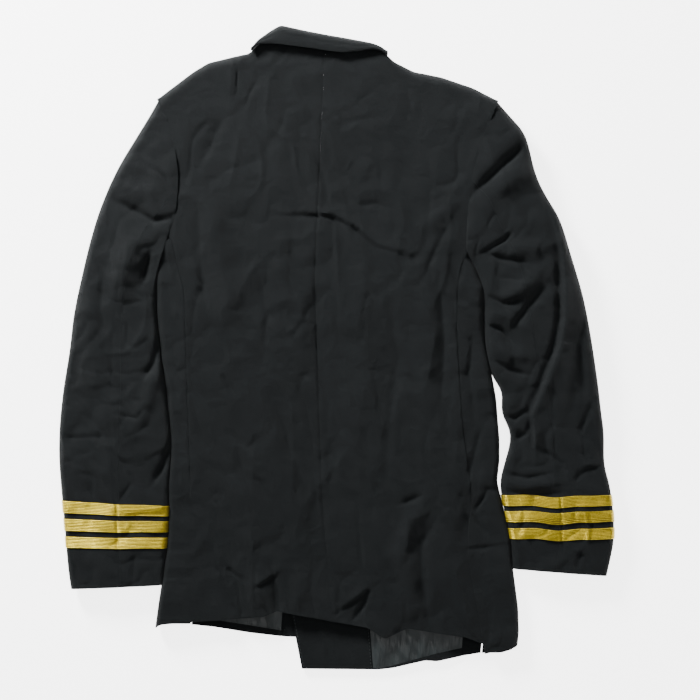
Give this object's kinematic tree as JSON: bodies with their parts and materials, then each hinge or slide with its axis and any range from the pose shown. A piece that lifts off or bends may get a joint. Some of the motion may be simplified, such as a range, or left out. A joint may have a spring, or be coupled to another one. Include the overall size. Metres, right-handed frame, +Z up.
{
  "type": "service dress jacket",
  "caption": "Dark double-breasted service dress jacket laid flat on its front, back up, with side vents, turned-down collar and bands of gold lace round each cuff.",
  "frame": {"origin": "middle of the jacket's bounding box, on the surface it lies on", "axes": "+X towards the wearer's right sleeve, +Y towards the collar, +Z up from the surface, out of the jacket's back"},
  "size_m": [0.6802, 0.7866, 0.035],
  "materials": {
    "cloth": "matt wool blend, very dark blue-green black",
    "lining": "dark grey-green satin",
    "lace": "woven metallic gold lace",
    "buttons": "polished, plain"
  },
  "bodies": {
    "root": {"back_left": "cloth", "back_right": "cloth", "side_left": "cloth", "side_right": "cloth", "front_left": "cloth", "front_right": "cloth", "hem_left": "cloth", "hem_right": "cloth", "facing_right": "cloth", "lapel_left": "cloth", "lapel_right": "cloth", "collar_leaf": "cloth", "collar_stand": "cloth", "sleeve_left_top": "cloth", "sleeve_left_under": "cloth", "sleeve_right_top": "cloth", "sleeve_right_under": "cloth", "lining_left": "lining", "lining_right": "lining", "lace_left_1": "lace", "lace_left_2": "lace", "lace_left_3": "lace", "lace_right_1": "lace", "lace_right_2": "lace", "lace_right_3": "lace", "button_1_left": "buttons", "button_1_right": "buttons", "button_2_left": "buttons", "button_2_right": "buttons", "button_3_left": "buttons", "button_3_right": "buttons"}
  },
  "joints": []
}
